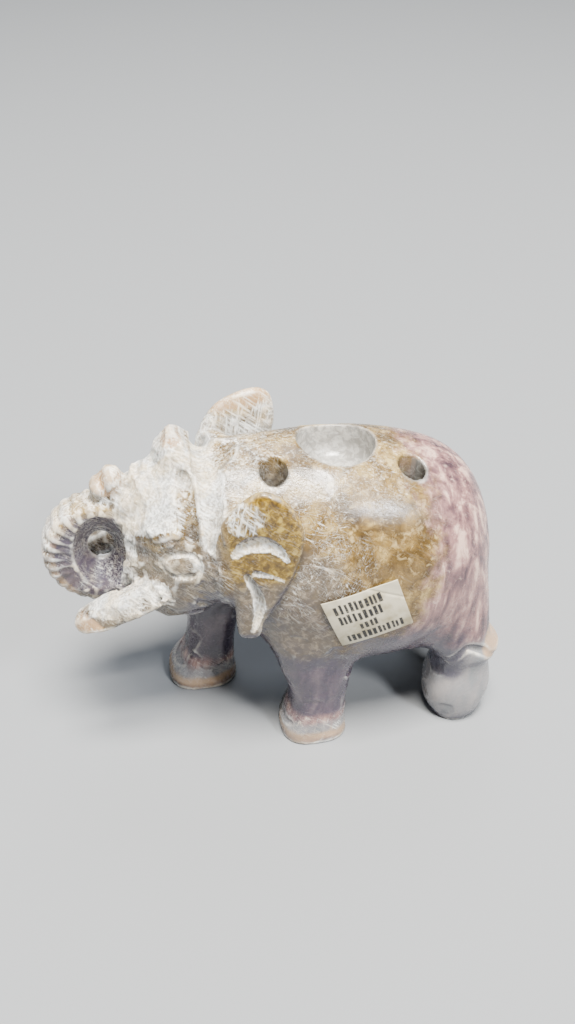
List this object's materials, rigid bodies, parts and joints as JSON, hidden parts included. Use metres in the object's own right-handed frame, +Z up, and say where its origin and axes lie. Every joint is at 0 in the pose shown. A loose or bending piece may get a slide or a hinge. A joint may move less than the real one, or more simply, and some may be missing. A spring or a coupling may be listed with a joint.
{
  "type": "carved stone elephant incense holder",
  "caption": "Carved stone elephant with raised, curled trunk and flared ears; its back is drilled with a wide well for a cone or candle and narrow holes for incense sticks.",
  "frame": {"origin": "centre of the bounding box, on the floor under the feet", "axes": "+X towards the rump, so the trunk points along -X; +Y towards the animal's right side, so its left side, with the label and the stick holes, faces -Y; +Z up"},
  "size_m": [0.0756, 0.0348, 0.0583],
  "materials": {
    "carved_stone": "partly polished, chalky where carved",
    "label_paper": "matte"
  },
  "bodies": {
    "root": {"elephant": "carved_stone", "paper_label": "label_paper"}
  },
  "joints": []
}
